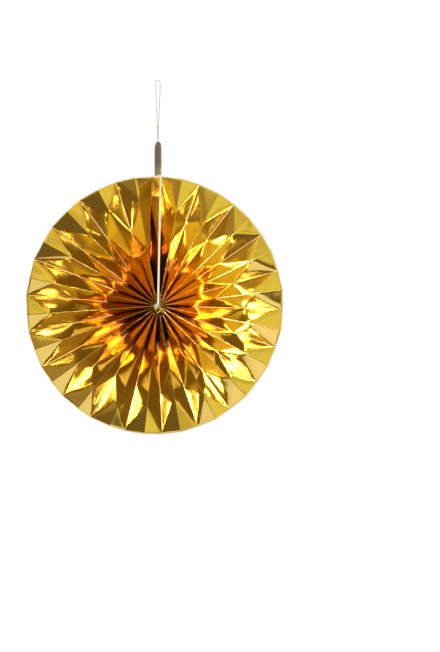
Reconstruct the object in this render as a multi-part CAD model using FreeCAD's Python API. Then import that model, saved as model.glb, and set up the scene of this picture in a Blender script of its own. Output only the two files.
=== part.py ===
import FreeCAD, Part
import math
import os

# A hanging rosette of pleated foil paper. Sizes are in millimetres, angles in degrees.
# While it is worked out, the hub of the pleats is at zero, with x to the right, y to the
# back and z up. Angles run clockwise from the top, seen from the front. The finished
# pieces are moved so that the top of the hanging loop is the origin.

# The foil paper
paper_thickness = 0.2
pleat_count = 21           # folds that stand forward
fold_length = 157.0        # along a fold, from the hub to the rim
rim_depth = 8.5            # height of the pleats at the rim where they open widest
pleat_gap = 0.05           # room between two panels where they are packed at the hub
dish = 10.0                # the rim lies this far behind the hub
seam_sector = 20.0         # between the folds on the two sides of the seam
turn_all = 0.9             # the whole rosette is turned by this much
turn_low = 4.6             # the lowest pleats are pulled round by this much more
turn_side = 2.3            # pleats on the right open wider than those on the left
front_nodes = (0.44, 0.79)     # shares of a front fold at which it kinks
back_nodes = (0.32, 0.63)      # shares of a back fold at which it kinks
node_scatter = 0.02        # unevenness of those shares
angle_scatter = 0.35       # unevenness of the folds at the rim

# The two cards at the seam, stuck together, which end in the hanging tab
card_thickness = 0.9
card_setback = 7.5         # from the fold at the back to the card's edge
tape_thickness = 0.15
glue_gap = 0.1             # between a card and the foil paper on it
tab_height = 41.0          # above the rim
hole_diameter = 3.0
hole_below_tip = 13.5
seam_room = 3.6            # at the rim, from the seam's front edge to the first fold at the back
lean_middle = 17.0         # lean of the seam at its middle
lean_rim = 14.0            # lean of the seam at the rim and in the tab
seam_steps = 6             # equal steps in which the lean changes, near the hub and near the rim

# The thread that binds the pleats at the hub
binding_diameter = 0.6
binding_radius = 6.5
binding_clearance = 0.15

# The hanging thread, one loop through the tab with both ends in a knot
thread_diameter = 0.7
thread_clearance = 0.2     # beside the tab's faces
hole_play = 0.3            # from the hole's middle up to the thread
strand_gap = 0.14          # between the strands below the knot
knot_above_tip = 18.0
knot_diameter = 2.4
knot_hold = 0.35           # the two ends stop this far below and above the knot's middle
loop_above_tip = 75.0
loop_width = 6.6
loop_shoulder = 4.0        # the loop's sides end this far below its top
loop_flat = 3.8            # straight run across the top
strands_part = 1.0         # above the tip, where they leave its faces
strands_meet = 6.0         # above the tip

fold_count = 2 * pleat_count + 1
seam_half = tape_thickness / 2 + card_thickness + glue_gap + paper_thickness
packed_length = 2 * pleat_count * (paper_thickness + pleat_gap) + 2 * seam_half
hub_radius = packed_length / (2 * math.pi)
seam_angle = math.degrees(math.asin(seam_half / hub_radius))
seam_foot = hub_radius * math.cos(math.radians(seam_angle))
depth_axis = FreeCAD.Vector(0, 1, 0)


# Points and angles of the folds. Even folds lie at the back, odd ones at the front.

def scatter(index, phase):
    return math.sin(2.4 * index + phase)


def on_circle(radius, angle):
    turn = math.radians(angle)
    return FreeCAD.Vector(radius * math.sin(turn), 0, radius * math.cos(turn))


def is_front(fold):
    return fold % 2 == 1


def rim_angle(fold):
    pitch = (360 - seam_sector) / (pleat_count - 1)
    even = seam_sector / 2 + (fold - 1) * pitch / 2
    turn = math.radians(even)
    pulled = turn_low * (1 - math.cos(turn)) / 2 + turn_side * math.sin(turn)
    return even + turn_all + pulled + angle_scatter * scatter(fold, 0.5)


def plan_ends(fold, run):
    share = fold / (fold_count - 1)
    start = on_circle(hub_radius, seam_angle + (360 - 2 * seam_angle) * share)
    return start, on_circle(hub_radius + run, rim_angle(fold))


def plan_point(fold, share, run):
    start, end = plan_ends(fold, run)
    return start + (end - start) * share


def chord(fold, share):
    # mean distance in plan from a fold to the folds beside it
    middle = min(max(fold, 1), fold_count - 2)
    before = plan_point(middle - 1, share, fold_length)
    after = plan_point(middle + 1, share, fold_length)
    return (after - before).Length / 2


widest_chord = max(chord(fold, 1) for fold in range(fold_count))
panel_width = math.hypot(widest_chord, rim_depth)


def pleat_height(fold, share):
    # the panels keep their width, so the pleats are lower where they open wider
    return math.sqrt(panel_width ** 2 - chord(fold, share) ** 2)


def fold_run(fold):
    # length in plan of a fold that drops from the hub's face to the rim's
    drop = dish + (panel_width - pleat_height(fold, 1)) / 2
    if not is_front(fold):
        drop = dish - (panel_width - pleat_height(fold, 1)) / 2
    return math.sqrt(fold_length ** 2 - drop ** 2)


def seam_lean(share):
    settled = back_nodes[0]
    if share < settled:
        return lean_middle * share / settled
    if share < back_nodes[1]:
        return lean_middle
    return lean_middle + (lean_rim - lean_middle) * (share - back_nodes[1]) / (1 - back_nodes[1])


def seam_frame(share):
    # front edge of the seam, and the directions across and through the cards
    lean = math.radians(seam_lean(share))
    across = FreeCAD.Vector(-math.sin(lean), math.cos(lean), 0)
    through = FreeCAD.Vector(math.cos(lean), math.sin(lean), 0)
    foot = FreeCAD.Vector(0, -panel_width / 2, seam_foot)
    rim_side = on_circle(hub_radius + fold_length, rim_angle(0)).x - seam_room
    rim_back = dish + pleat_height(0, 1) / 2
    rim_front = rim_back - panel_width * math.cos(math.radians(lean_rim))
    rim = FreeCAD.Vector(rim_side, rim_front, seam_foot + fold_length)
    return foot + (rim - foot) * share, across, through


def fold_point(fold, share):
    # inner side of a fold; the paper's thickness lies around it
    if fold == fold_count - 1:
        edge, across, through = seam_frame(share)
        return edge + across * (panel_width - paper_thickness) - through * seam_half
    half = pleat_height(fold, share) / 2 - paper_thickness
    side = -1 if is_front(fold) else 1
    return plan_point(fold, share, fold_run(fold)) + depth_axis * (dish * share + side * half)


def edge_point(fold, share):
    # foil side of the paper's free edge on the right (-1) or the left of the seam
    edge, across, through = seam_frame(share)
    return edge + through * (seam_half if fold < 0 else -seam_half)


def paper_point(fold, share):
    if 0 <= fold < fold_count:
        return fold_point(fold, share)
    return edge_point(fold, share)


def seam_shares():
    settled, middle = back_nodes
    near_hub = [settled * step / seam_steps for step in range(seam_steps + 1)]
    near_rim = [1 - (1 - middle) * step / seam_steps for step in range(seam_steps, -1, -1)]
    return near_hub + near_rim


def node_shares(fold):
    if fold < 0 or fold >= fold_count - 1:
        return seam_shares()
    nodes = front_nodes if is_front(fold) else back_nodes
    moved = [share + node_scatter * scatter(fold, 3 * place) for place, share in enumerate(nodes)]
    return [0] + moved + [1]


# Solids from points

def solid_from(points, triangles):
    shape = Part.Shape()
    shape.makeShapeFromMesh(([tuple(point) for point in points], triangles), 0.0001)
    solid = Part.makeSolid(shape)
    if solid.Volume < 0:
        solid.reverse()
    return solid


def quad(a, b, c, d):
    return [(a, b, c), (a, c, d)]


def flipped(triangles):
    return [(a, c, b) for a, b, c in triangles]


def crest_half(fold, other, share, sideways):
    # half of the flat back of a fold, on the side of its neighbour
    here = fold_point(fold, share)
    step = paper_point(other, share) - here
    along = step.dot(sideways)
    rise = abs(step.y)
    slope = math.atan2(rise, along)
    if 0 <= other < fold_count:
        slope += math.asin(paper_thickness / math.hypot(along, rise))
    return paper_thickness * math.tan(slope / 2)


def fold_section(fold, share):
    # foil and white sides of the paper, before and after the fold
    inner = paper_point(fold, share)
    if not 0 <= fold < fold_count:
        edge, across, through = seam_frame(share)
        white = inner - through * (paper_thickness if fold < 0 else -paper_thickness)
        return [inner, inner, white, white]
    start, end = plan_ends(fold, fold_run(fold))
    sideways = (end - start).cross(depth_axis) * -1
    sideways.normalize()
    crest = inner + depth_axis * (-paper_thickness if is_front(fold) else paper_thickness)
    before = crest - sideways * crest_half(fold, fold - 1, share, sideways * -1)
    after = crest + sideways * crest_half(fold, fold + 1, share, sideways)
    if is_front(fold):
        return [before, after, inner, inner]
    return [inner, inner, before, after]


def panel_strip(before, after, marks_before, marks_after, back_first):
    # triangles between two folds, with creases that zigzag from node to node
    triangles = []
    i = 0
    j = 0
    while i < len(before) - 1 or j < len(after) - 1:
        next_before = marks_before[i + 1] if i < len(before) - 1 else 2
        next_after = marks_after[j + 1] if j < len(after) - 1 else 2
        if next_after < next_before or (next_after == next_before and back_first):
            triangles.append((before[i], after[j], after[j + 1]))
            j += 1
        else:
            triangles.append((before[i], after[j], before[i + 1]))
            i += 1
    return triangles


def foil_paper():
    points = []
    sections = {}
    for fold in range(-1, fold_count + 1):
        rows = [[], [], [], []]
        for share in node_shares(fold):
            for row, point in zip(rows, fold_section(fold, share)):
                if point not in points[-4:]:
                    points.append(point)
                row.append(len(points) - 1 - points[::-1].index(point))
        sections[fold] = rows
    triangles = []
    for fold in range(-1, fold_count):
        foil_before, white_before = sections[fold][1], sections[fold][3]
        foil_after, white_after = sections[fold + 1][0], sections[fold + 1][2]
        marks = node_shares(fold), node_shares(fold + 1)
        back_first = not is_front(fold + 1)
        triangles += panel_strip(foil_before, foil_after, *marks, back_first)
        triangles += flipped(panel_strip(white_before, white_after, *marks, back_first))
        triangles += quad(foil_after[0], foil_before[0], white_before[0], white_after[0])
        triangles += quad(foil_before[-1], foil_after[-1], white_after[-1], white_before[-1])
    for fold in range(fold_count):
        foil_before, foil_after, white_before, white_after = sections[fold]
        if is_front(fold):
            crest, inner = (foil_before, foil_after), white_before
        else:
            crest, inner = (white_after, white_before), foil_before
        for node in range(len(inner) - 1):
            triangles += quad(crest[0][node], crest[1][node], crest[1][node + 1], crest[0][node + 1])
        triangles.append((crest[1][0], crest[0][0], inner[0]))
        triangles.append((crest[0][-1], crest[1][-1], inner[-1]))
    for fold, step in ((-1, 1), (fold_count, -1)):
        foil, white = sections[fold][0][::step], sections[fold][2][::step]
        for node in range(len(foil) - 1):
            triangles += quad(foil[node], foil[node + 1], white[node + 1], white[node])
    return solid_from(points, triangles)


def seam_ribbon(near, far, width):
    # a strip that follows the seam, between two distances from its middle plane
    points = []
    shares = seam_shares()
    for share in shares:
        edge, across, through = seam_frame(share)
        back = edge + across * width
        points += [edge + through * near, edge + through * far]
        points += [back + through * near, back + through * far]
    triangles = []
    for step in range(len(shares) - 1):
        edge_near, edge_far, back_near, back_far = range(4 * step, 4 * step + 4)
        top = [corner + 4 for corner in (edge_near, edge_far, back_near, back_far)]
        triangles += quad(edge_near, back_near, top[2], top[0])
        triangles += flipped(quad(edge_far, back_far, top[3], top[1]))
        triangles += flipped(quad(edge_near, edge_far, top[1], top[0]))
        triangles += quad(back_near, back_far, top[3], top[2])
    last = 4 * (len(shares) - 1)
    triangles += quad(0, 1, 3, 2)
    triangles += flipped(quad(last, last + 1, last + 3, last + 2))
    return solid_from(points, triangles)


def tab_place(across_by, up, through_by):
    edge, across, through = seam_frame(1)
    return edge + across * across_by + through * through_by + FreeCAD.Vector(0, 0, up)


def card(near, far):
    width = panel_width - card_setback
    end = width / 2
    shoulder = tab_height - end
    corners = [tab_place(0, 0, near), tab_place(width, 0, near)]
    shoulders = [tab_place(width, shoulder, near), tab_place(0, shoulder, near)]
    tip = tab_place(end, tab_height, near)
    outline = Part.Wire([
        Part.LineSegment(corners[0], corners[1]).toShape(),
        Part.LineSegment(corners[1], shoulders[0]).toShape(),
        Part.Arc(shoulders[0], tip, shoulders[1]).toShape(),
        Part.LineSegment(shoulders[1], corners[0]).toShape(),
    ])
    through = seam_frame(1)[2]
    tab = Part.Face(outline).extrude(through * (far - near))
    middle = tab_place(end, tab_height - hole_below_tip, near)
    hole = Part.makeCylinder(hole_diameter / 2, far - near, middle, through)
    return seam_ribbon(near, far, width).fuse(tab.cut(hole)).removeSplitter()


# Threads

def binding_ring():
    return Part.makeTorus(binding_radius, binding_diameter / 2, FreeCAD.Vector(0, 0, 0), depth_axis)


def binding_slits():
    # a ring of square section, which leaves a slit for the thread in every panel
    half = binding_diameter / 2 + binding_clearance
    foot = depth_axis * -half
    outer = Part.makeCylinder(binding_radius + half, 2 * half, foot, depth_axis)
    return outer.cut(Part.makeCylinder(binding_radius - half, 2 * half, foot, depth_axis))


def tube_along(route, diameter):
    # straight runs joined by tangent arcs, each as large as its two runs allow
    edges = []
    start = route[0]
    length = 0
    for place in range(1, len(route) - 1):
        corner = route[place]
        back = (route[place - 1] - corner)
        ahead = (route[place + 1] - corner)
        reach = 0.45 * min(back.Length, ahead.Length)
        half_turn = (math.pi - back.getAngle(ahead)) / 2
        radius = reach / math.tan(half_turn)
        back.normalize()
        ahead.normalize()
        enter, leave = corner + back * reach, corner + ahead * reach
        bisector = (back + ahead).normalize()
        middle = corner + bisector * (radius / math.cos(half_turn) - radius)
        edges.append(Part.LineSegment(start, enter).toShape())
        edges.append(Part.Arc(enter, middle, leave).toShape())
        length += (enter - start).Length + 2 * radius * half_turn
        start = leave
        print(f"turn {place}: {math.degrees(2 * half_turn):.1f} degrees, radius {radius:.2f}")
    edges.append(Part.LineSegment(start, route[-1]).toShape())
    length += (route[-1] - start).Length
    first = (route[1] - route[0]).normalize()
    section = Part.Wire(Part.makeCircle(diameter / 2, route[0], first))
    tube = Part.Wire(edges).makePipeShell([section], True, True)
    expected = length * math.pi * diameter ** 2 / 4
    print(f"thread length {length:.1f}, volume {tube.Volume:.2f}, expected {expected:.2f}")
    return tube


def thread_place(sideways, up):
    # a point in the loop's plane, measured from the tab's tip
    width = panel_width - card_setback
    return tab_place(width / 2, tab_height + up, sideways)


def thread_route():
    strand = (thread_diameter + strand_gap) / 2
    face = tape_thickness / 2 + card_thickness + thread_diameter / 2 + thread_clearance
    hole = hole_play - hole_below_tip
    top = loop_above_tip
    side = loop_width / 2
    flat = loop_flat / 2
    places = [
        (-strand, knot_above_tip - knot_hold),
        (-strand, strands_meet),
        (-face, strands_part),
        (-face, hole),
        (face, hole),
        (face, strands_part),
        (strand, strands_meet),
        (strand, knot_above_tip),
        (side, top - loop_shoulder),
        (flat, top),
        (-flat, top),
        (-side, top - loop_shoulder),
        (-strand, knot_above_tip + knot_hold),
    ]
    return [thread_place(sideways, up) for sideways, up in places]


def thread_knot(thread):
    ball = Part.makeSphere(knot_diameter / 2, thread_place(0, knot_above_tip))
    return ball.cut(thread)


near_card = tape_thickness / 2
far_card = near_card + card_thickness
slits = binding_slits()
thread = tube_along(thread_route(), thread_diameter)
pieces = {
    "foil_paper": foil_paper().cut(slits),
    "card_strip_left": card(-far_card, -near_card).cut(slits),
    "card_strip_right": card(near_card, far_card).cut(slits),
    "card_tape": seam_ribbon(-near_card, near_card, panel_width - card_setback).cut(slits),
    "binding_thread": binding_ring(),
    "hanging_thread": thread,
    "thread_knot": thread_knot(thread),
}

os.makedirs("parts", exist_ok=True)
loop_top = thread_place(0, loop_above_tip)
for name, shape in pieces.items():
    shape.translate(loop_top * -1)
    shape.exportStep(f"parts/{name}.step")
    print(f"{name}: {len(shape.Solids)} solid, {len(shape.Faces)} faces, {shape.Volume:.1f} cubic mm")
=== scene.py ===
import math

import bpy
import numpy as np
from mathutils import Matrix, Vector


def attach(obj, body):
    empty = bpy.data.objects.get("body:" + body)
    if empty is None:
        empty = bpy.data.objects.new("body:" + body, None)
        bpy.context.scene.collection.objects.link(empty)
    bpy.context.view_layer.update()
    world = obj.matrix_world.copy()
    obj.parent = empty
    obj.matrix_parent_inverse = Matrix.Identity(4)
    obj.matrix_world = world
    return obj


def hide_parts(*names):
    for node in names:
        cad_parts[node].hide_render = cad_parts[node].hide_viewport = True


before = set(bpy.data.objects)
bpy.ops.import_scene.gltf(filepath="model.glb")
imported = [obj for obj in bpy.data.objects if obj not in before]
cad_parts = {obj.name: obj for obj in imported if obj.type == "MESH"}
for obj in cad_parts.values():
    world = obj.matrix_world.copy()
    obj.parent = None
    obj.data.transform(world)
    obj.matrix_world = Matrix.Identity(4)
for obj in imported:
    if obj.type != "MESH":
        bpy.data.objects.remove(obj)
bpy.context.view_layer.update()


# Sizes of the folded paper, in metres and degrees. Angles run clockwise from the top,
# seen from the front. Even folds lie at the back, odd ones at the front. Shares run
# along a fold, from 0 at the hub to 1 at the rim.
paper = {
    "thickness": 0.0002,
    "pleats": 21,              # folds that stand forward
    "foldLength": 0.157,
    "rimDepth": 0.0085,        # least height of the pleats at the rim
    "pleatGap": 0.00005,       # between two panels at the hub
    "dish": 0.010,             # the rim lies this far behind the hub
    "seamSector": 20.0,
    "turnAll": 0.9,
    "turnLow": 4.6,
    "turnSide": 2.3,
    "frontNodes": (0.44, 0.79),    # shares of a front fold at which it kinks
    "backNodes": (0.32, 0.63),
    "nodeScatter": 0.05,
    "angleScatter": 0.35,
    "rows": 56,                # steps along a fold
    "columns": 18,             # steps across a panel
    "gathered": 0.6,           # how far the columns draw together near the folds
    "creaseSoftness": 0.0030,  # how far the creases between the folds are rounded
}

# Sizes of the seam, its cards and the loop above them
seam = {
    "card": 0.0009,
    "cardSetback": 0.0075,     # from the fold at the back to the card's edge
    "tape": 0.00015,
    "glueGap": 0.0001,
    "tabHeight": 0.041,
    "room": 0.0036,            # at the rim, from the seam's front edge to the first back fold
    "leanMiddle": 17.0,
    "leanRim": 14.0,
    "steps": 6,                # in which the lean changes, near the hub and near the rim
    "loopAboveTip": 0.075,
}

foldCount = 2 * paper["pleats"] + 1
seamHalf = seam["tape"] / 2 + seam["card"] + seam["glueGap"] + paper["thickness"]
packed = 2 * paper["pleats"] * (paper["thickness"] + paper["pleatGap"]) + 2 * seamHalf
hubRadius = packed / (2 * math.pi)
seamAngle = math.degrees(math.asin(seamHalf / hubRadius))
seamFoot = hubRadius * math.cos(math.radians(seamAngle))


def onCircle(radius, angle):
    turn = np.radians(angle)
    return np.stack([radius * np.sin(turn), 0 * turn, radius * np.cos(turn)], -1)


def scatter(index, phase):
    return np.sin(2.4 * index + phase)


def rimAngle(fold):
    # evenly spaced, then pulled round: wider on the right than on the left
    pitch = (360 - paper["seamSector"]) / (paper["pleats"] - 1)
    even = paper["seamSector"] / 2 + (fold - 1) * pitch / 2
    turn = math.radians(even)
    pulled = paper["turnLow"] * (1 - math.cos(turn)) / 2 + paper["turnSide"] * math.sin(turn)
    return even + paper["turnAll"] + pulled + paper["angleScatter"] * scatter(fold, 0.5)


def planPoint(fold, share, run):
    # straight in plan from the hub's circle to the rim
    around = seamAngle + (360 - 2 * seamAngle) * fold / (foldCount - 1)
    start = onCircle(hubRadius, around)
    end = onCircle(hubRadius + run, rimAngle(fold))
    return start + (end - start) * np.asarray(share)[..., None]


def chord(fold, share):
    # half of the distance in plan between the folds on the two sides
    middle = min(max(fold, 1), foldCount - 2)
    before = planPoint(middle - 1, share, paper["foldLength"])
    after = planPoint(middle + 1, share, paper["foldLength"])
    return np.linalg.norm(after - before, axis=-1) / 2


# the panels are as wide as their widest chord and the least height of the pleats ask for
widestChord = max(float(chord(fold, 1.0)) for fold in range(foldCount))
panelWidth = math.hypot(widestChord, paper["rimDepth"])


def pleatHeight(fold, share):
    # the panels keep their width, so a pleat is lower where it opens wider
    return np.sqrt(panelWidth ** 2 - chord(fold, share) ** 2)


def foldRun(fold):
    # the fold's length in plan: its own length less what its drop to the rim takes
    side = 1 if fold % 2 else -1
    drop = paper["dish"] + side * (panelWidth - float(pleatHeight(fold, 1.0))) / 2
    return math.sqrt(paper["foldLength"] ** 2 - drop ** 2)


def seamFrame(share):
    # front edge of the seam, with the directions across and through the cards
    share = np.asarray(share, float)
    settled, middle = paper["backNodes"]
    lean = np.radians(np.interp(share, [0, settled, middle, 1],
                                [0, seam["leanMiddle"], seam["leanMiddle"], seam["leanRim"]]))
    across = np.stack([-np.sin(lean), np.cos(lean), 0 * lean], -1)
    through = np.stack([np.cos(lean), np.sin(lean), 0 * lean], -1)
    foot = np.array([0, -panelWidth / 2, seamFoot])
    rimSide = float(onCircle(hubRadius + paper["foldLength"], rimAngle(0))[0]) - seam["room"]
    rimBack = paper["dish"] + float(pleatHeight(0, 1.0)) / 2
    rimFront = rimBack - panelWidth * math.cos(math.radians(seam["leanRim"]))
    rim = np.array([rimSide, rimFront, seamFoot + paper["foldLength"]])
    return foot + (rim - foot) * share[..., None], across, through


def paperPoint(fold, share):
    # middle of the paper on a fold, or on a free edge at the seam
    share = np.asarray(share, float)
    half = paper["thickness"] / 2
    edge, across, through = seamFrame(share)
    if fold < 0:
        return edge + through * (seamHalf - half)
    if fold == foldCount:
        return edge - through * (seamHalf - half)
    if fold == foldCount - 1:
        return edge + across * (panelWidth - half) - through * (seamHalf - half)
    side = -1 if fold % 2 else 1
    depth = paper["dish"] * share + side * (pleatHeight(fold, share) / 2 - half)
    return planPoint(fold, share, foldRun(fold)) + depth[..., None] * np.array([0, 1, 0])


def nodeShares(fold):
    # shares at which a fold kinks; at the seam, those at which its lean changes
    if fold < 0 or fold >= foldCount - 1:
        settled, middle = paper["backNodes"]
        nearHub = np.linspace(0, settled, seam["steps"] + 1)
        nearRim = np.linspace(middle, 1, seam["steps"] + 1)
        return [*nearHub, *nearRim]
    nodes = paper["frontNodes"] if fold % 2 else paper["backNodes"]
    return [0] + [s + paper["nodeScatter"] * scatter(fold, 3 * n) for n, s in enumerate(nodes)] + [1]


tabWidth = panelWidth - seam["cardSetback"]
tabEdge, tabAcross, tabThrough = (value.reshape(3) for value in seamFrame(1.0))


def tabPoint(sideways, aboveTip):
    # a point in the loop's plane
    lift = np.array([0, 0, seam["tabHeight"] + aboveTip])
    return tabEdge + tabAcross * tabWidth / 2 + tabThrough * sideways + lift


loopTop = tabPoint(0, seam["loopAboveTip"])
hub = Vector(-loopTop)


# Camera: the photograph's size and the hub's place in it are in pixels
photo = {"width": 440, "height": 652, "hubX": 158.1, "hubY": 305.4, "pixel": 0.001215}
view = {"azimuth": 6.0, "distance": 1.9, "sensor": 36.0, "farthest": 30.0}


def addCamera():
    turn = math.radians(view["azimuth"])
    hubFront = hub - Vector((0, panelWidth / 2, 0))
    place = hubFront + Vector((-math.sin(turn), -math.cos(turn), 0)) * view["distance"]
    right = (photo["width"] / 2 - photo["hubX"]) * photo["pixel"]
    down = (photo["height"] / 2 - photo["hubY"]) * photo["pixel"]
    camera = bpy.data.cameras.new("camera")
    camera.sensor_width = view["sensor"]
    camera.lens = view["sensor"] * view["distance"] / (photo["height"] * photo["pixel"])
    camera.clip_end = view["farthest"]
    holder = bpy.data.objects.new("camera", camera)
    bpy.context.collection.objects.link(holder)
    holder.location = place
    heading = turn + math.atan2(right, view["distance"])
    holder.rotation_euler = (math.radians(90) - math.atan2(down, view["distance"]), 0, -heading)
    bpy.context.scene.camera = holder


addCamera()
print("camera placed")


# Shader maths as expressions: a Wire is a node's output, and Shader.node makes any node
class Wire:
    def __init__(self, shader, socket):
        self.shader = shader
        self.socket = socket

    def maths(self, operation, first, second):
        return self.shader.node("ShaderNodeMath", {"operation": operation}, {0: first, 1: second})

    def __add__(self, other):
        return self.maths("ADD", self, other)

    def __radd__(self, other):
        return self.maths("ADD", other, self)

    def __sub__(self, other):
        return self.maths("SUBTRACT", self, other)

    def __rsub__(self, other):
        return self.maths("SUBTRACT", other, self)

    def __mul__(self, other):
        return self.maths("MULTIPLY", self, other)

    def __rmul__(self, other):
        return self.maths("MULTIPLY", other, self)


class Shader:
    def __init__(self, name, world=None):
        self.holder = world or bpy.data.materials.new(name)
        self.holder.use_nodes = True
        self.tree = self.holder.node_tree
        self.tree.nodes.clear()

    def node(self, kind, settings=None, values=None, out=0):
        # settings come first, since some of them change the sockets
        made = self.tree.nodes.new(kind)
        for key, value in (settings or {}).items():
            setattr(made, key, value)
        for key, value in (values or {}).items():
            if isinstance(value, Wire):
                self.tree.links.new(value.socket, made.inputs[key])
            else:
                made.inputs[key].default_value = value
        return Wire(self, made.outputs[out]) if len(made.outputs) else made

    def axes(self, vector):
        # x, y and z of a vector
        split = self.node("ShaderNodeSeparateXYZ", None, {0: vector})
        return [Wire(self, socket) for socket in split.socket.node.outputs]

    def mixColour(self, factor, first, second):
        return self.node("ShaderNodeMix", {"data_type": "RGBA"}, {0: factor, 6: first, 7: second}, 2)

    def ramp(self, factor, low, high):
        # 0 below low and 1 above high, with a soft step between
        settings = {"interpolation_type": "SMOOTHSTEP", "clamp": True}
        return self.node("ShaderNodeMapRange", settings, {0: factor, 1: low, 2: high, 3: 0.0, 4: 1.0})

    def noise(self, vector, scale, detail=2.0, roughness=0.5):
        return self.node("ShaderNodeTexNoise", None,
                         {"Vector": vector, "Scale": scale, "Detail": detail, "Roughness": roughness})

    def bump(self, height, strength, distance):
        return self.node("ShaderNodeBump", None,
                         {"Strength": strength, "Distance": distance, "Height": height})

    def finish(self, values):
        surface = self.node("ShaderNodeBsdfPrincipled", None, values)
        self.node("ShaderNodeOutputMaterial", None, {0: surface})
        return self.holder


foilLook = {
    "gold": (0.95, 0.72, 0.20, 1),
    "deepToneAndBounceGold": (0.95, 0.56, 0.10, 1),  # random deeper tone, and near the hub painted deeper orange for light bounced between the close pleats
    "hubReach": (0.04, 0.11),           # along a fold, where the look near the hub ends
    "roughness": 0.12,
    "lacquer": 0.08,                    # roughness of the clear coat
    "coreAndHighlight": (1.0, 0.82, 0.60, 1),       # where the foil is cracked and worn thin along the front folds, and further out a painted highlight of the folds' rounded edges
    "crackAndHighlightWidth": 0.00048,               # to each side of a front fold
    "crackAndHighlightScatter": 0.0005,
    "furrowsAcross": 420.0,             # noise a metre, across the panels and along the folds
    "furrowsAlong": 26.0,
    "bumpHeight": 0.0006,
}


def foilMaterial():
    # gold foil; UV is the flat sheet in metres: x across the panels, y along the folds
    shader = Shader("gold_foil")
    flat = shader.node("ShaderNodeTexCoord", out="UV")
    across, along, _ = shader.axes(flat)
    nearHub = 1 - shader.ramp(along, *foilLook["hubReach"])
    # distance from the nearest front fold, which repeats every two panels
    fromBack = shader.node("ShaderNodeMath", {"operation": "PINGPONG"}, {0: across, 1: panelWidth})
    patchy = shader.noise(flat, 900.0, 3.0, 0.6)
    # a pale line along each front fold: cracked, worn foil, wider and stronger near the hub, and further
    # out a painted highlight of the fold's rounded edge
    place = panelWidth - fromBack - (patchy - 0.5) * foilLook["crackAndHighlightScatter"]
    width = foilLook["crackAndHighlightWidth"] * (1 + 0.9 * nearHub)
    crackAndHighlight = (1 - shader.ramp(place, width * 0.7, width * 1.3)) * (0.7 + 0.3 * nearHub)
    tone = shader.noise(flat, 55.0, 3.0, 0.6)
    # painted inter-reflection: towards the hub the colour turns deeper orange, standing in for light
    # bounced between the close pleats; the tone also varies at random
    gold = shader.mixColour(tone * 0.4 + nearHub * 0.6, foilLook["gold"], foilLook["deepToneAndBounceGold"])
    smudge = shader.noise(flat, 160.0, 4.0, 0.65)
    # long shallow furrows from the press that folded the sheet, strongest near the hub
    stretched = {0: across * foilLook["furrowsAcross"], 1: along * foilLook["furrowsAlong"], 2: 0.0}
    furrow = shader.noise(shader.node("ShaderNodeCombineXYZ", None, stretched), 1.0)
    ripple = shader.noise(flat, 150.0)
    height = furrow * (0.25 + 1.4 * nearHub) + ripple * 0.25
    return shader.finish({
        "Base Color": shader.mixColour(crackAndHighlight, gold, foilLook["coreAndHighlight"]),
        "Metallic": 1 - 0.85 * crackAndHighlight,
        "Roughness": foilLook["roughness"] + (smudge - 0.5) * 0.08 + crackAndHighlight * 0.4,
        "Coat Weight": 1.0,
        "Coat Roughness": foilLook["lacquer"],
        "Normal": shader.bump(height, 0.3, foilLook["bumpHeight"]),
    })


backLook = {"pale": (0.90, 0.88, 0.83, 1), "shade": (0.82, 0.79, 0.73, 1), "roughness": 0.75}


def paperBackMaterial():
    shader = Shader("white_paper_back")
    flat = shader.node("ShaderNodeTexCoord", out="UV")
    fibre = shader.noise(flat, 1500.0, 4.0, 0.7)
    tone = shader.noise(flat, 60.0)
    return shader.finish({
        "Base Color": shader.mixColour(tone * 0.6 + fibre * 0.4, backLook["pale"], backLook["shade"]),
        "Roughness": backLook["roughness"] + fibre * 0.1,
        "Normal": shader.bump(fibre, 0.25, 0.0002),
    })


def linked(name, vertices, faces, uvs=None, materials=(), faceMaterial=None, smooth=True):
    mesh = bpy.data.meshes.new(name)
    mesh.from_pydata(vertices.tolist(), [], faces.tolist())
    for material in materials:
        mesh.materials.append(material)
    if faceMaterial is not None:
        mesh.polygons.foreach_set("material_index", faceMaterial.astype(np.int32))
    mesh.polygons.foreach_set("use_smooth", np.full(len(faces), smooth))
    if uvs is not None:
        corners = np.empty(len(mesh.loops), np.int32)
        mesh.loops.foreach_get("vertex_index", corners)
        layer = mesh.uv_layers.new(name="sheet")
        layer.data.foreach_set("uv", uvs[corners].ravel())
    mesh.update()
    piece = bpy.data.objects.new(name, mesh)
    bpy.context.collection.objects.link(piece)
    return piece


def creaseOrder(marksBefore, marksAfter, backFirst):
    # the creases of a panel, each from a node of one fold to a node of the next
    i = j = 0
    order = [(0, 0)]
    while i < len(marksBefore) - 1 or j < len(marksAfter) - 1:
        nextBefore = marksBefore[i + 1] if i < len(marksBefore) - 1 else 2
        nextAfter = marksAfter[j + 1] if j < len(marksAfter) - 1 else 2
        if nextAfter < nextBefore or (nextAfter == nextBefore and backFirst):
            j += 1
        else:
            i += 1
        order.append((i, j))
    return order


def panelGrid(fold, shares, places):
    # between two folds the paper is straight along each crease, and flat between creases
    marksBefore, marksAfter = nodeShares(fold), nodeShares(fold + 1)
    before, after = paperPoint(fold, marksBefore), paperPoint(fold + 1, marksAfter)
    order = np.array(creaseOrder(marksBefore, marksAfter, (fold + 1) % 2 == 0))
    markBefore, markAfter = np.array(marksBefore)[order[:, 0]], np.array(marksAfter)[order[:, 1]]
    grid = np.empty((len(shares), len(places), 3))
    for column, place in enumerate(places):
        marks = markBefore * (1 - place) + markAfter * place
        points = before[order[:, 0]] * (1 - place) + after[order[:, 1]] * place
        for axis in range(3):
            grid[:, column, axis] = np.interp(shares, marks, points[:, axis])
    return grid


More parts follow.
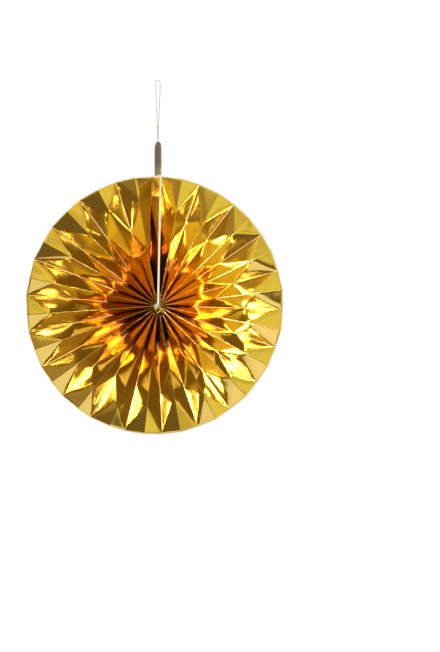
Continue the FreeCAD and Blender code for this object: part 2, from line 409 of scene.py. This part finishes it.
def softened(grid, shares, width):
    # Gaussian mean along the folds, mirrored through the ends so that they stay in place
    step = shares[1] - shares[0]
    reach = int(math.ceil(3 * width / step))
    weights = np.exp(-0.5 * (np.arange(-reach, reach + 1) * step / width) ** 2)
    weights /= weights.sum()
    low = 2 * grid[:1] - grid[reach:0:-1]
    high = 2 * grid[-1:] - grid[-2:-reach - 2:-1]
    wide = np.concatenate([low, grid, high])
    return sum(weight * wide[n:n + len(grid)] for n, weight in enumerate(weights))


def pleatedSheet():
    # middle of the paper as rows along the folds by columns across all the panels, with
    # each column's panel number and place on it, and each row's share
    shares = np.linspace(0, 1, paper["rows"] + 1)
    even = np.linspace(0, 1, paper["columns"] + 1)
    places = even - paper["gathered"] * np.sin(2 * math.pi * even) / (2 * math.pi)
    panels = [panelGrid(fold, shares, places) for fold in range(-1, foldCount)]
    middle = np.concatenate([panel[:, :-1] for panel in panels] + [panels[-1][:, -1:]], 1)
    number = np.concatenate([places[:-1] + n for n in range(len(panels))] + [[len(panels)]])
    return softened(middle, shares, paper["creaseSoftness"] / paper["foldLength"]), number, shares


def sheetNormals(middle):
    normal = np.cross(np.gradient(middle, axis=1), np.gradient(middle, axis=0))
    return normal / np.linalg.norm(normal, axis=-1, keepdims=True)


# Waves on the flat sheet, in metres: wide bends, crumples, and furrows along the folds
bends = {"height": 0.0006, "count": 6, "longest": 0.090, "shortest": 0.045, "seed": 3}
crumples = {"height": 0.0004, "count": 8, "longest": 0.050, "shortest": 0.022, "seed": 5}
furrows = {"height": 0.00025, "count": 8, "longest": 0.012, "shortest": 0.005, "seed": 9}
waveForm = {
    "sharpness": 0.97,         # 1 is a plain triangle wave, and less rounds its corners
    "scale": 0.64,             # brings a wave's height to about 1
    "stretch": 0.12,           # furrows are this much finer across the folds than along them
    "grown": (0.06, 0.46),     # shares between which bends and crumples reach their height
    "furrowsGrown": (0.0625, 0.1875),
    "furrowsFaded": (0.182, 0.636),
    "grooveShare": 0.25,       # most that all of them take of the width of a groove
}


def waves(across, along, layer):
    # a sum of triangle waves of random direction, length and phase, higher where longer:
    # flat facets between creases
    random = np.random.default_rng(layer["seed"])
    count, longest = layer["count"], layer["longest"]
    length = longest * (layer["shortest"] / longest) ** random.random(count)
    turn = random.random(count) * math.pi
    phase = random.random(count) * 2 * math.pi
    total = 0
    for n in range(count):
        run = (across * math.cos(turn[n]) + along * math.sin(turn[n])) * 2 * math.pi / length[n]
        triangle = np.arcsin(waveForm["sharpness"] * np.sin(run + phase[n])) * waveForm["scale"]
        total = total + triangle * length[n] / longest
    return total / math.sqrt(count) * layer["height"]


def grooveWidths(middle):
    # from each point to the one that lies against it when the pleats are closed, on the
    # panel before or after, whichever is nearer
    columns = paper["columns"]
    panels = [middle[:, n:n + columns + 1] for n in range(0, middle.shape[1] - 1, columns)]
    whole = np.stack(panels, 1)
    gaps = np.linalg.norm(whole[:, 1:] - whole[:, :-1, ::-1], axis=-1)
    before = np.concatenate([gaps[:, :1], gaps], 1)
    after = np.concatenate([gaps, gaps[:, -1:]], 1)[:, :, ::-1]
    widths = np.minimum(before, after)
    return np.concatenate([widths[:, :, :-1].reshape(len(middle), -1), widths[:, -1, -1:]], 1)


def unevenness(middle, number, shares, across, along):
    # none on the folds and the two end panels, and less towards the hub, where all lie close
    loose = np.sin(math.pi * (number % 1)) * ((number > 1) & (number < number[-1] - 1))
    grown = np.interp(shares, waveForm["grown"], (0, 1))
    furrowed = np.interp(shares, waveForm["furrowsGrown"], (0, 1))
    furrowed *= np.interp(shares, waveForm["furrowsFaded"], (1, 0))
    lift = (waves(across, along, bends) + waves(across, along, crumples)) * loose * grown[:, None]
    lift += waves(across, along * waveForm["stretch"], furrows) * loose * furrowed[:, None]
    # eased off towards a share of the groove's width, so that no panel passes through the next
    limit = grooveWidths(middle) * waveForm["grooveShare"] + 1e-7
    return limit * np.tanh(lift / limit)


def closedSheet(middle, normal):
    # front and back lie half a thickness from the middle, and are joined around the rim
    half = paper["thickness"] / 2
    front, back = middle + normal * half, middle - normal * half
    vertices = np.concatenate([front.reshape(-1, 3), back.reshape(-1, 3)]) - loopTop
    index = np.arange(len(vertices) // 2).reshape(middle.shape[:2])
    low, right, top, left = index[:-1, :-1], index[:-1, 1:], index[1:, 1:], index[1:, :-1]
    frontFaces = np.stack([low, right, top, left], -1).reshape(-1, 4)
    backFaces = frontFaces[:, ::-1] + index.size
    rim = np.concatenate([index[0], index[1:, -1], index[-1, -2::-1], index[-2:0:-1, 0]])
    following = np.roll(rim, -1)
    edgeFaces = np.stack([rim, rim + index.size, following + index.size, following], -1)
    kinds = np.repeat([0, 1], [len(frontFaces), len(backFaces) + len(edgeFaces)])
    return vertices, np.concatenate([frontFaces, backFaces, edgeFaces]), kinds


def buildFoil():
    middle, number, shares = pleatedSheet()
    across, along = np.meshgrid(number * panelWidth, shares * paper["foldLength"])
    normal = sheetNormals(middle)
    lift = unevenness(middle, number, shares, across, along)
    vertices, faces, kinds = closedSheet(middle + normal * lift[..., None], normal)
    uvs = np.tile(np.stack([across.ravel(), along.ravel()], -1), (2, 1))
    foil = linked("gold_foil_pleats", vertices, faces, uvs, (foilMaterial(), paperBackMaterial()), kinds)
    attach(foil, "root")
    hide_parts("foil_paper")
    print("foil paper:", len(faces), "faces, panel width", round(panelWidth, 5))


buildFoil()


cardLook = {
    "dark": (0.22, 0.155, 0.12, 1),
    "pale": (0.31, 0.225, 0.18, 1),
    "foot": (0.62, 0.46, 0.31, 1),      # of the tab, lit by the foil below it
    "footHeight": 0.016,
    "edge": (0.93, 0.88, 0.80, 1),      # cut edge between the two end panels
    "roughness": 0.8,
}


def cardMaterial():
    # grey-brown card with a paler cut edge where the foil paper ends on it
    shader = Shader("grey_brown_card")
    place = shader.node("ShaderNodeTexCoord", out="Object")
    _, _, height = shader.axes(place)
    _, facing, _ = shader.axes(shader.node("ShaderNodeNewGeometry", out="Normal"))
    rimHeight = float(tabEdge[2] - loopTop[2])
    fibre = shader.noise(place, 1600.0, 4.0, 0.7)
    cloud = shader.noise(place, 140.0, 3.0, 0.6)
    face = shader.mixColour(cloud * 0.5 + fibre * 0.5, cardLook["dark"], cardLook["pale"])
    foot = 1 - shader.ramp(height, rimHeight, rimHeight + cardLook["footHeight"])
    face = shader.mixColour(foot * 0.8, face, cardLook["foot"])
    forward = 1 - shader.ramp(facing, -0.8, -0.6)
    belowRim = 1 - shader.ramp(height, rimHeight - 0.002, rimHeight + 0.001)
    return shader.finish({
        "Base Color": shader.mixColour(forward * belowRim, face, cardLook["edge"]),
        "Roughness": cardLook["roughness"] - fibre * 0.1,
        "Normal": shader.bump(fibre, 0.3, 0.0002),
    })


threadLook = {"pale": (0.56, 0.55, 0.53, 1), "shade": (0.40, 0.39, 0.37, 1), "roughness": 0.8}


def threadMaterial():
    shader = Shader("cotton_thread")
    fibre = shader.noise(shader.node("ShaderNodeTexCoord", out="Object"), 2600.0, 3.0, 0.6)
    return shader.finish({
        "Base Color": shader.mixColour(fibre, threadLook["pale"], threadLook["shade"]),
        "Roughness": threadLook["roughness"] + fibre * 0.1,
        "Normal": shader.bump(fibre, 0.5, 0.0001),
    })


tapeLook = {"pale": (0.86, 0.83, 0.75, 1), "shade": (0.76, 0.72, 0.62, 1), "roughness": 0.45}


def tapeMaterial():
    shader = Shader("sticky_tape")
    fleck = shader.noise(shader.node("ShaderNodeTexCoord", out="Object"), 700.0, 3.0, 0.6)
    return shader.finish({
        "Base Color": shader.mixColour(fleck, tapeLook["pale"], tapeLook["shade"]),
        "Roughness": tapeLook["roughness"] + fleck * 0.15,
    })


def dress(node, material):
    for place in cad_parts[node].material_slots:
        place.material = material


card = cardMaterial()
thread = threadMaterial()
dress("card_strip_left", card)
dress("card_strip_right", card)
dress("card_tape", tapeMaterial())
dress("binding_thread", thread)
print("cards, tape and binding thread dressed")


# The loop, in metres. Heights are above the tab's tip, and widths to each side of the middle.
loop = {
    "diameter": 0.0007,
    "length": 0.181,
    "strand": 0.00042,         # strands below the knot
    "face": 0.001525,          # strands beside the tab's faces
    "hole": -0.0132,           # the thread's level in the hole
    "above": 0.0042,           # straight run beside the tab above the hole
    "part": 0.001,             # where the strands leave the tab's faces
    "meet": 0.006,
    "knot": 0.018,
    "knotHold": 0.00035,       # the ends stop this far below and above the knot's middle
    "side": 0.0033,
    "flat": 0.0019,            # straight run across the top
    "shoulder": 0.071,         # top of the loop's sides
}


def loopRoute():
    # from the knot through the tab's hole, through the knot, round the loop and back
    strand, face, side, flat = loop["strand"], loop["face"], loop["side"], loop["flat"]
    places = [
        (-strand, loop["knot"] - loop["knotHold"]),
        (-strand, loop["meet"]),
        (-face, loop["part"]),
        (-face, loop["hole"] + loop["above"]),
        (-face, loop["hole"]),
        (face, loop["hole"]),
        (face, loop["hole"] + loop["above"]),
        (face, loop["part"]),
        (strand, loop["meet"]),
        (strand, loop["knot"]),
        (side, loop["shoulder"]),
        (flat, seam["loopAboveTip"]),
        (-flat, seam["loopAboveTip"]),
        (-side, loop["shoulder"]),
        (-strand, loop["knot"] + loop["knotHold"]),
    ]
    return [tabPoint(sideways, up) - loopTop for sideways, up in places]


def buildThread():
    curve = bpy.data.curves.new("loop_thread", "CURVE")
    curve.dimensions = "3D"
    curve.bevel_depth = loop["diameter"] / 2
    curve.bevel_resolution = 3
    curve.use_fill_caps = True
    route = loopRoute()
    spline = curve.splines.new("NURBS")
    spline.points.add(len(route) - 1)
    for point, place in zip(spline.points, route):
        point.co = (*place, 1)
    spline.order_u = 3
    spline.use_endpoint_u = True
    spline.resolution_u = 10
    curve.materials.append(thread)
    piece = bpy.data.objects.new("loop_thread", curve)
    bpy.context.collection.objects.link(piece)
    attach(piece, "root")
    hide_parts("hanging_thread")
    return piece, route


def tube(path, radius, sides):
    # a round profile carried along a closed path, on frames turned by the path itself
    ahead = np.roll(path, -1, 0) - np.roll(path, 1, 0)
    ahead /= np.linalg.norm(ahead, axis=1, keepdims=True)
    side = np.cross(ahead, path - path.mean(0))
    side /= np.linalg.norm(side, axis=1, keepdims=True)
    up = np.cross(side, ahead)
    turn = np.linspace(0, 2 * math.pi, sides, endpoint=False)
    ring = side[:, None] * np.cos(turn)[None, :, None] + up[:, None] * np.sin(turn)[None, :, None]
    return path[:, None] + ring * radius


knot = {
    "reach": 0.00026,          # a third of the trefoil's radius
    "depth": 0.00045,
    "wrapRadius": 0.0003,
    "steps": 120,
    "sides": 8,
}


def buildKnot():
    # a trefoil: twice around while its distance from the middle swings three times
    turn = np.linspace(0, 2 * math.pi, knot["steps"], endpoint=False)
    path = np.stack([knot["reach"] * (np.sin(turn) + 2 * np.sin(2 * turn)),
                     knot["reach"] * (np.cos(turn) - 2 * np.cos(2 * turn)),
                     knot["depth"] * -np.sin(3 * turn)], -1)
    rings = tube(path, knot["wrapRadius"], knot["sides"])
    index = np.arange(knot["steps"] * knot["sides"]).reshape(knot["steps"], knot["sides"])
    onward, around = np.roll(index, -1, 0), np.roll(index, -1, 1)
    both = np.roll(onward, -1, 1)
    faces = np.stack([index, onward, both, around], -1).reshape(-1, 4)
    middle = tabPoint(0, loop["knot"]) - loopTop
    piece = linked("thread_knot_wraps", rings.reshape(-1, 3) + middle, faces, None, (thread,))
    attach(piece, "root")
    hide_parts("thread_knot")
    return piece


threadPiece, threadRoute = buildThread()
knotPiece = buildKnot()
print("hanging thread and knot made")


# Studio: a pale floor, a world that is white behind the object, and soft lamps
studio = {
    "floorHeight": -1.35,
    "floorSize": 1.9,
    "floorPale": (0.86, 0.86, 0.86, 1),
    "floorShade": (0.82, 0.82, 0.82, 1),
    "floorGlow": 0.95,                 # share of white that the camera sees
    "deep": (0.16, 0.115, 0.04, 1),    # the room at the left and below
    "dim": (0.36, 0.265, 0.10, 1),     # the room at the upper left
    "pale": (0.80, 0.73, 0.22, 1),     # warm screens at the right and above
    "toRight": 0.90,                   # how much right and up count towards the screens
    "toTop": 0.80,
}
white = (1, 1, 1, 1)

lamps = {
    # name: place in metres from the hub, width, height, power in watts, colour
    "right": ((0.84, -1.81, 0.12), 0.36, 0.40, 15.0, (1.0, 0.99, 0.97)),
    "camera": ((0.20, -2.35, -0.22), 0.33, 0.29, 10.0, (1.0, 0.99, 0.97)),
    "left": ((-0.47, -2.20, 0.28), 0.14, 0.18, 2.8, (1.0, 0.98, 0.95)),
}


def buildFloor():
    shader = Shader("pale_floor")
    tone = shader.noise(shader.node("ShaderNodeTexCoord", out="Object"), 3.0)
    colour = shader.mixColour(tone, studio["floorPale"], studio["floorShade"])
    diffuse = shader.node("ShaderNodeBsdfDiffuse", None, {0: colour})
    glow = shader.node("ShaderNodeEmission", None, {0: white, 1: 1.0})
    seen = shader.node("ShaderNodeLightPath", out="Is Camera Ray") * studio["floorGlow"]
    mixed = shader.node("ShaderNodeMixShader", None, {0: seen, 1: diffuse, 2: glow})
    shader.node("ShaderNodeOutputMaterial", None, {0: mixed})
    half, level = studio["floorSize"] / 2, studio["floorHeight"]
    sides = [(-half, -half), (half, -half), (half, half), (-half, half)]
    corners = np.array([(x, y, level) for x, y in sides])
    linked("floor", corners, np.array([[0, 1, 2, 3]]), None, (shader.holder,), None, False)


def buildWorld():
    # the room in front of the object, which only the foil mirrors, and white behind it
    world = bpy.data.worlds.new("studio")
    bpy.context.scene.world = world
    shader = Shader("studio", world)
    direction = shader.node("ShaderNodeTexCoord", out="Generated")
    side, depth, height = shader.axes(direction)
    lit = shader.ramp(side * studio["toRight"] + height * studio["toTop"], 0.20, 0.40)
    screens = shader.ramp(shader.noise(direction, 3.2, 1.0, 0.5), 0.42, 0.50)
    colour = shader.mixColour(shader.ramp(height, -0.1, 0.5), studio["deep"], studio["dim"])
    colour = shader.mixColour(lit * (0.6 + 0.4 * screens), colour, studio["pale"])
    colour = shader.mixColour(shader.ramp(depth, 0.0, 0.3), colour, white)
    colour = shader.mixColour(shader.node("ShaderNodeLightPath", out="Is Camera Ray"), colour, white)
    light = shader.node("ShaderNodeBackground", None, {0: colour, 1: 1.0})
    shader.node("ShaderNodeOutputWorld", None, {0: light})


def buildLamps():
    for name, (place, width, height, power, colour) in lamps.items():
        lamp = bpy.data.lights.new(name, "AREA")
        lamp.shape = "RECTANGLE"
        lamp.size = width
        lamp.size_y = height
        lamp.energy = power
        lamp.color = colour
        holder = bpy.data.objects.new(name, lamp)
        bpy.context.collection.objects.link(holder)
        holder.location = hub + Vector(place)
        holder.rotation_euler = Vector(place).to_track_quat("Z", "Y").to_euler()


buildFloor()
buildWorld()
buildLamps()
bpy.context.scene.view_settings.view_transform = "Standard"
print("studio lit")
